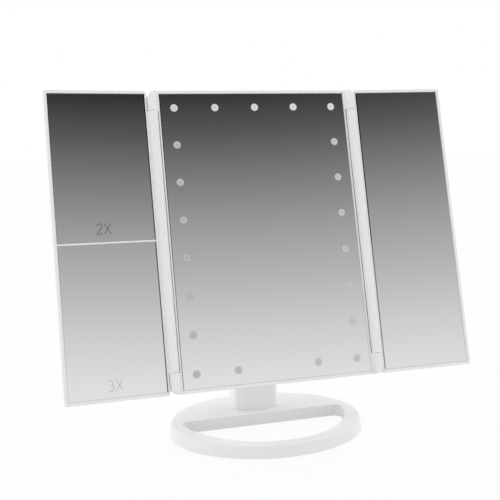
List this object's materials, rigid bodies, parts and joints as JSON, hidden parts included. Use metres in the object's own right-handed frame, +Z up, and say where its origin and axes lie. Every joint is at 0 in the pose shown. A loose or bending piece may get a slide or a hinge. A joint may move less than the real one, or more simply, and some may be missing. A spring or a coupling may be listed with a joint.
{
  "type": "lighted make-up mirror",
  "caption": "Standing make-up mirror with folding wings, round light windows, a tilting head and an oval foot with an open front.",
  "frame": {"origin": "on the table under the middle of the oval foot", "axes": "+Z up, -Y towards the user in front of the mirror, +X to the user's right"},
  "size_m": [0.3462, 0.141, 0.2889],
  "materials": {
    "white_plastic": "satin",
    "mirror_glass": "polished",
    "frosted_lens": "frosted",
    "steel": "bright zinc",
    "soft_rubber": "matt",
    "brass_bush": "plain",
    "circuit_board": "solder mask",
    "led_body": "clear moulded",
    "cell_sleeve": "shrink sleeve",
    "plated_contact": "nickel plated",
    "dark_plastic": "fine grain"
  },
  "bodies": {
    "base": {"base_shell": "white_plastic", "base_cover": "white_plastic", "base_weight": "steel", "base_screws": "steel", "rubber_feet": "soft_rubber", "neck_post": "white_plastic", "tilt_bolt": "steel", "tilt_nut": "steel", "friction_washers": "brass_bush", "hinge_caps": "white_plastic"},
    "head": {"tilt_arm": "white_plastic", "arm_screws": "steel", "centre_frame": "white_plastic", "centre_mirror": "mirror_glass", "light_windows": "frosted_lens", "led_board": "circuit_board", "led_chips": "led_body", "control_board": "circuit_board", "touch_sensor": "brass_bush", "centre_back": "white_plastic", "housing_screws": "steel", "battery_tray": "white_plastic", "battery_cells": "cell_sleeve", "battery_contacts": "plated_contact", "power_boards": "circuit_board", "switch_body": "dark_plastic", "charging_inlet": "plated_contact", "hinge_pins": "steel"},
    "battery_cover": {"battery_door": "white_plastic"},
    "power_switch": {"switch_knob": "dark_plastic"},
    "left_wing": {"left_wing_frame": "white_plastic", "left_wing_back": "white_plastic", "left_mirror_upper": "mirror_glass", "left_mirror_lower": "mirror_glass", "left_hinge_bushes": "brass_bush"},
    "right_wing": {"right_wing_frame": "white_plastic", "right_wing_back": "white_plastic", "right_mirror": "mirror_glass", "right_hinge_bushes": "brass_bush"}
  },
  "joints": [
    {"name": "head_tilt", "type": "hinge", "parent": "base", "child": "head", "pos_m": [0, 0.0352, 0.1478], "axis": [1, 0, 0], "range_deg": [-75, 20]},
    {"name": "left_wing_fold", "type": "hinge", "parent": "head", "child": "left_wing", "pos_m": [-0.087, -0.00995, 0.16998], "axis": [0, 0.2538, 0.9673], "range_deg": [-2.1, 177.9]},
    {"name": "right_wing_fold", "type": "hinge", "parent": "head", "child": "right_wing", "pos_m": [0.087, -0.00995, 0.16998], "axis": [0, -0.2538, -0.9673], "range_deg": [-2.1, 177.9]},
    {"name": "battery_door_slide", "type": "slide", "parent": "head", "child": "battery_cover", "axis": [0, 0.2538, 0.9673], "range_m": [0, 0.06]},
    {"name": "power_switch_slide", "type": "slide", "parent": "head", "child": "power_switch", "axis": [1, 0, 0], "range_m": [0, 0.004]}
  ]
}
